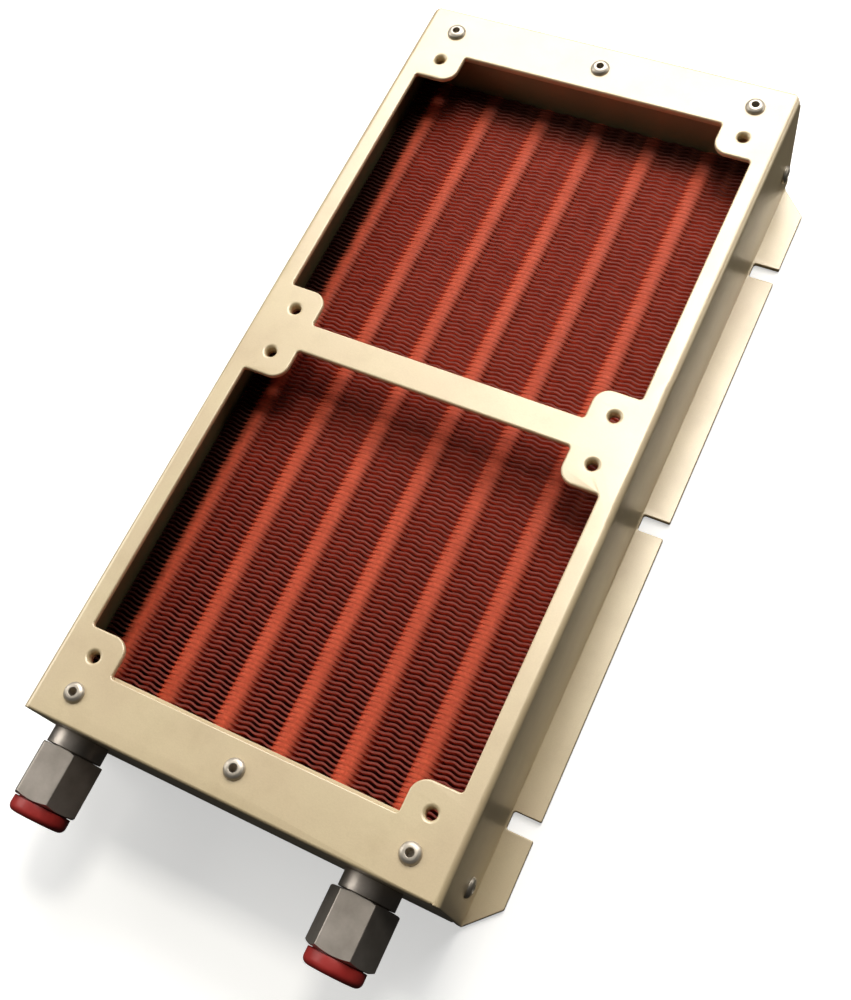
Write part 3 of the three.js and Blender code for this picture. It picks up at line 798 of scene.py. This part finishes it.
SHEET_GAP = 2.0                           # a hairpin's ends stand this far past a tube sheet
tube_turn = cad("tube_sheet_far")[0].y + SHEET_GAP
tube_end = cad("tube_sheet_near")[1].y - SHEET_GAP
for i, (top, bottom) in enumerate(zip(TOP_TUBES, BOTTOM_TUBES)):
    start = pins[i][0].y
    path = hairpin_path((top, TOP_ROW), (bottom, BOTTOM_ROW), start, tube_end, tube_turn, 1)
    mesh = sweep_tube(f"hairpin_tube_{i + 1}_detail", path, [0] * len(path))
    make_piece(mesh.name, mesh, COPPER, "radiator", [f"hairpin_tube_{i + 1}"], 50)

for i in range(5):
    tubes, height = (BOTTOM_TUBES, BOTTOM_ROW) if i % 2 == 0 else (TOP_TUBES, TOP_ROW)
    start = cad(f"return_bend_{i + 1}")[1].y
    path = hairpin_path((tubes[i], height), (tubes[i + 1], height), start, start, start - 0.2, -1)
    swell = [0.45 * math.exp(-((abs(k - (len(path) - 1) / 2) - (len(path) - 1) / 2) / 1.1) ** 2)
             for k in range(len(path))]
    mesh = sweep_tube(f"return_bend_{i + 1}_detail", path, swell)
    make_piece(mesh.name, mesh, COPPER, "radiator", [f"return_bend_{i + 1}"], 50)

# Turned profiles as (radius, height, fillet); height 0 is the face that the piece stands on.
RIVET = [(0, -5.5, 0), (2.0, -5.5, 0.5), (2.7, -3.9, 0.6), (1.9, -3.6, 0.1), (1.9, 0.04, 0),
         (3.05, 0.04, 0.06), (3.1, 0.3, 0.2), (2.7, 0.95, 0.5), (1.95, 1.32, 0.5),
         (1.2, 1.4, 0.15), (1.15, -3.2, 0.1), (0, -3.15, 0)]
for name in rivet_names:
    at = middle(name)
    if "top" in name:
        place = Matrix.Translation((at.x, at.y, TOP))
    else:
        sign = math.copysign(1, at.x)
        place = (Matrix.Translation((sign * HALF_WIDTH, at.y, at.z))
                 @ Matrix.Rotation(sign * HALF_PI, 4, "Y"))
    mesh = lathe(f"{name}_detail", RIVET, 40, place)
    make_piece(mesh.name, mesh, ZINC, "radiator", [name], 50)

BODY = [(3.8, -4.7, 0.1), (5.0, -4.7, 0.3), (5.0, -1.6, 0), (6.0, -1.6, 0), (6.0, 0.06, 0),
        (8.4, 0.06, 0.15), (8.4, 5.05, 0.25), (7.6, 5.05, 0.1), (6.2, 5.0, 0.1), (6.2, 9.0, 0.2),
        (7.3, 9.0, 0.2), (7.3, 11.0, 0.3), (6.1, 12.0, 0.3), (3.1, 12.0, 0.3), (3.1, 4.0, 0),
        (3.8, 4.0, 0)]
PLUG_PROFILE = [(6.0, 14.0, 0.3), (7.05, 14.0, 0.2), (7.35, 15.0, 0.3), (7.35, 21.6, 0),
                (8.55, 21.6, 0.2), (8.6, 25.9, 1.9), (5.2, 25.9, 0.4), (4.9, 25.55, 0.3),
                (0, 25.55, 0), (0, 22.5, 0), (6.0, 22.5, 0.4)]
NUT = {"flats": 18.0, "start": 5.3, "end": 21.3, "lip": 6.6, "lip_end": 8.7, "bore": 7.7,
       "face_start": 9.45, "face_end": 8.7, "slope": 0.5, "corner": 0.45}


def nut_mesh(name, place):
    """Hexagon with rounded corners, both ends turned to a cone, and a stepped bore."""
    radius = NUT["flats"] / math.sqrt(3)
    corners = [(radius * math.cos(math.pi * k / 3), radius * math.sin(math.pi * k / 3),
                NUT["corner"]) for k in range(6)]      # one flat faces up
    sparse = rounded(corners, math.radians(15))
    outline = []
    for a, b in zip(sparse, sparse[1:] + sparse[:1]):
        parts = max(1, round(math.dist(a, b) / 0.8))
        outline += [(a[0] + (b[0] - a[0]) * k / parts, a[1] + (b[1] - a[1]) * k / parts)
                    for k in range(parts)]
    slope, soft = NUT["slope"], 0.12

    def ring(scale_to, height):
        """Ring of points; scale_to None keeps the hexagon and cuts it by the cone."""
        out = []
        for x, y in outline:
            r = math.hypot(x, y)
            s = 1 if scale_to is None else min(1, scale_to / r)
            out.append((x * s, y * s, height(r)))
        return out

    def side(near_end, inward):
        """Height on the hexagon's side where the cone meets it, and a little past it."""
        edge, face = ((NUT["start"], NUT["face_start"]) if near_end
                      else (NUT["end"], NUT["face_end"]))
        sign = 1 if near_end else -1
        return lambda r: edge + sign * (max(soft, r - face) * slope + inward)

    rings = [ring(NUT["lip"] + 0.3, lambda r: NUT["start"]),
             ring(8.8, lambda r: NUT["start"]),
             ring(None, side(True, 0)), ring(None, side(True, 0.25)),
             ring(None, side(False, 0.25)), ring(None, side(False, 0)),
             ring(NUT["face_end"] + soft, lambda r: NUT["end"] - soft * slope * 1.5),
             ring(NUT["face_end"] - soft, lambda r: NUT["end"]),
             ring(NUT["bore"] + 0.25, lambda r: NUT["end"]),
             ring(NUT["bore"], lambda r: NUT["end"] - 0.25),
             ring(NUT["bore"], lambda r: NUT["lip_end"]),
             ring(NUT["lip"], lambda r: NUT["lip_end"]),
             ring(NUT["lip"], lambda r: NUT["start"] + 0.3)]
    points = [place @ Vector(p) for one in rings for p in one]
    return mesh_from(name, points, ring_faces(len(rings), len(outline), True))


for side in ("left", "right"):
    at = middle(f"fitting_body_{side}")
    place = Matrix.Translation((at.x, NEAR, at.z)) @ Matrix.Rotation(HALF_PI, 4, "X")
    mesh = lathe(f"fitting_body_{side}_detail", BODY, 64, place)
    make_piece(mesh.name, mesh, STEEL, "radiator", [f"fitting_body_{side}"], 40)
    mesh = nut_mesh(f"swivel_nut_{side}_detail", place)
    make_piece(mesh.name, mesh, STEEL, f"nut_{side}", [f"swivel_nut_{side}"], 28)
    mesh = lathe(f"dust_plug_{side}_detail", PLUG_PROFILE, 64, place)
    make_piece(mesh.name, mesh, PLUG, f"plug_{side}", [f"dust_plug_{side}"], 40)


# ---- stage ------------------------------------------------------------------------------------
def floor_material():
    """Pale grey, with some light of its own so that it stays even."""
    n = Nodes("pale_floor")
    colour = n.ramp(n.noise(3, 2), [(0.3, (0.80, 0.80, 0.79)), (0.7, (0.84, 0.84, 0.83))])
    n.link(colour, n.shader.inputs["Emission Color"])
    return n.finish(colour, n.scale_to(n.noise(20, 2), 0.8, 0.9), Emission_Strength=0.6)


def area_light(name, place, aim, size, power, colour):
    light = bpy.data.lights.new(name, "AREA")
    light.shape, light.energy, light.color = "RECTANGLE", power, colour
    light.size, light.size_y = size
    lamp = bpy.data.objects.new(name, light)
    bpy.context.scene.collection.objects.link(lamp)
    lamp.location = place
    lamp.rotation_euler = (Vector(aim) - Vector(place)).to_track_quat("-Z", "Y").to_euler()


floor = bpy.data.objects.new("floor", bpy.data.meshes.new("floor"))
floor.data.from_pydata([(-4, -4, 0), (4, -4, 0), (4, 4, 0), (-4, 4, 0)], [], [(0, 1, 2, 3)])
floor.data.materials.append(floor_material())
bpy.context.scene.collection.objects.link(floor)
floor.location.z = house_low.z * MM - 0.0002
floor.visible_diffuse = floor.visible_glossy = False      # its bounce would wash out the walls

# Name, place, aim, size, power in watts and colour. The far ones stand for the room's window.
for lamp in (
        ("key", (0.0, 0.60, 1.28), (0, 0, 0.04), (0.42, 0.26), 7.6, (1.0, 0.96, 0.88)),
        ("far_window", (-0.06, 0.86, 0.82), (0, 0.1, 0.04), (1.4, 0.4), 11.5, (1.0, 0.99, 0.99)),
        ("left", (-0.9, 0.0, 0.55), (0, 0, 0.03), (0.5, 0.5), 3.0, (1.0, 0.98, 0.94)),
        ("low_right", (0.36, 0.34, 0.06), (0.06, 0.04, 0.02), (0.3, 0.06), 0.29,
         (1.0, 0.97, 0.9))):
    area_light(*lamp)

world = bpy.data.worlds.new("studio")
world.use_nodes = True
tree = world.node_tree
toward = tree.nodes.new("ShaderNodeVectorMath")
toward.operation = "DOT_PRODUCT"
toward.inputs[1].default_value = Vector((-0.5, 0.35, 0.8)).normalized()
tree.links.new(tree.nodes.new("ShaderNodeTexCoord").outputs["Generated"], toward.inputs[0])
sky = tree.nodes.new("ShaderNodeValToRGB")
sky.color_ramp.elements.new(0.5)
for element, (position, shade) in zip(sky.color_ramp.elements,
                                      ((0.0, 0.02), (0.55, 0.09), (1.0, 0.42))):
    element.position = position
    element.color = (shade, shade * 0.99, shade * 0.96, 1)
tree.links.new(toward.outputs["Value"], sky.inputs["Fac"])
tree.links.new(sky.outputs["Color"], tree.nodes["Background"].inputs["Color"])
bpy.context.scene.world = world
bpy.context.scene.view_settings.view_transform = "Standard"

# ---- camera -----------------------------------------------------------------------------------
camera = bpy.data.objects.new("camera", bpy.data.cameras.new("camera"))
bpy.context.scene.collection.objects.link(camera)
camera.data.sensor_width, camera.data.lens = 36.0, 44.66
camera.data.clip_start = 0.01
camera.location = (0.11928, FAN_MIDDLE * MM - 0.14620, TOP * MM + 0.31353)
camera.rotation_euler = [math.radians(a) for a in (24.68588, 8.57499, 25.69413)]
bpy.context.scene.camera = camera
